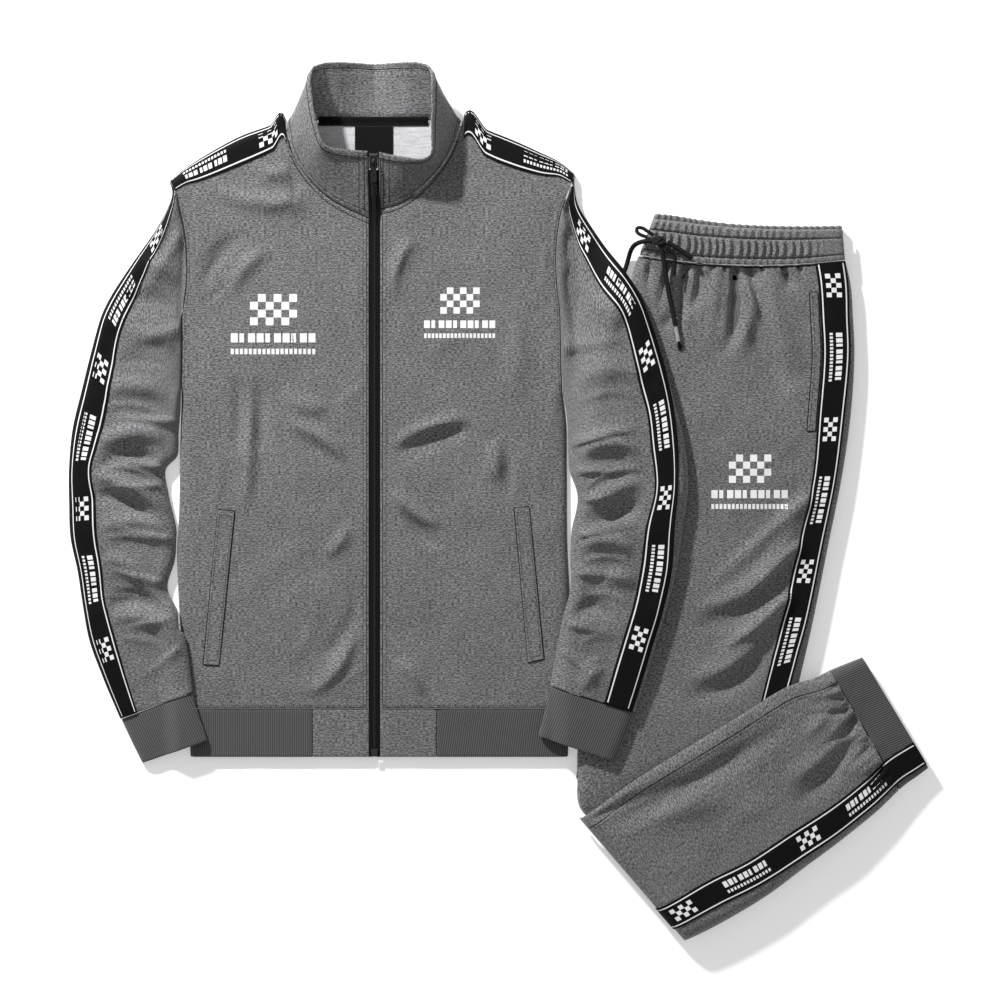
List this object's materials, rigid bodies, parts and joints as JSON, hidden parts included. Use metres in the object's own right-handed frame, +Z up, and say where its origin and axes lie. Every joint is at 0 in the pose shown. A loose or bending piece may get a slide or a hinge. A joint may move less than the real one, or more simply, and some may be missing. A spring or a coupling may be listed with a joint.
{
  "type": "tracksuit",
  "caption": "Dark knit tracksuit laid flat: a zip jacket with stand collar and rib cuffs beside folded drawstring trousers, one sleeve over them.",
  "frame": {"origin": "underside of the jacket's back panel, on the jacket's centre line at mid-chest, where it rests on the surface", "axes": "+Z up from the surface, +Y from the hem towards the collar, +X towards the trousers, which lie at the wearer's left"},
  "size_m": [0.9456, 0.9634, 0.046],
  "materials": {
    "cloth": "heathered knit",
    "rib": "rib knit",
    "tape": "woven tape",
    "zip": "satin",
    "metal": "satin black",
    "cord": "braided",
    "aglet": "matte"
  },
  "bodies": {
    "suit": {"front_right": "cloth", "front_left": "cloth", "back_panel": "cloth", "sleeve_right": "cloth", "sleeve_left": "cloth", "collar": "cloth", "hem_block_right": "cloth", "hem_block_left": "cloth", "welt_right": "cloth", "welt_left": "cloth", "upper_leg": "cloth", "upper_leg_layers": "cloth", "lower_leg": "cloth", "lower_leg_layers": "cloth", "leg_welt": "cloth", "cuff_right": "rib", "cuff_left": "rib", "hem_rib": "rib", "ankle_cuff": "rib", "waistband_front": "rib", "waistband_back": "rib", "shoulder_tape_right": "tape", "shoulder_tape_left": "tape", "sleeve_tape_right": "tape", "sleeve_tape_left": "tape", "leg_tape_upper": "tape", "leg_tape_lower": "tape", "neck_tape": "tape", "neck_label": "tape", "zip_tape_right": "tape", "zip_tape_left": "tape", "zip_chain": "zip", "zip_box": "zip", "zip_slider": "metal", "drawstring_left_end": "cord", "drawstring_left_loop": "cord", "drawstring_long_end": "cord", "drawstring_right_loop": "cord", "drawstring_lower_loop": "cord", "drawstring_knot": "cord", "drawstring_aglet": "aglet"},
    "pull_tab": {"zip_pull": "metal"}
  },
  "joints": [
    {"name": "pull_swing", "type": "hinge", "parent": "suit", "child": "pull_tab", "pos_m": [0, 0.29885, 0.03448], "axis": [-1, 0, 0], "range_deg": [0, 150]}
  ]
}
